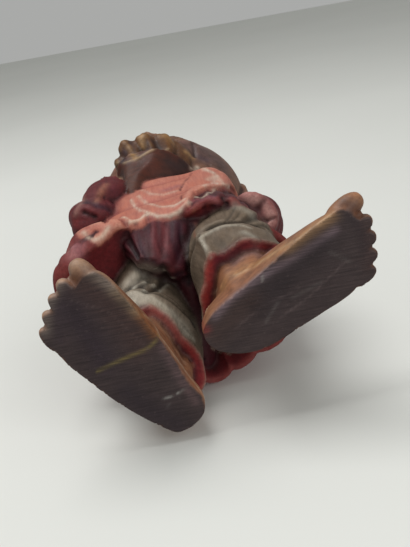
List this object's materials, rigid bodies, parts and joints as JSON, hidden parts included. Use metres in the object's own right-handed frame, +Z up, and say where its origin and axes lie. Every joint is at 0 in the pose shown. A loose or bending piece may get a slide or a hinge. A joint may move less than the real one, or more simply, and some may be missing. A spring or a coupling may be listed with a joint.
{
  "type": "carved wooden lohan statue",
  "caption": "Standing carved wooden figure of a stout bearded monk in a gathered tunic, resting on two splayed bare feet.",
  "frame": {"origin": "bottom centre of the figure's box, on the plane that both soles stand on", "axes": "+Z up along the figure's height, -Y the way the body faces, +X the figure's own left"},
  "size_m": [0.179, 0.1342, 0.252],
  "materials": {
    "painted_wood": "satin"
  },
  "bodies": {
    "root": {"lohan_figure": "painted_wood"}
  },
  "joints": []
}
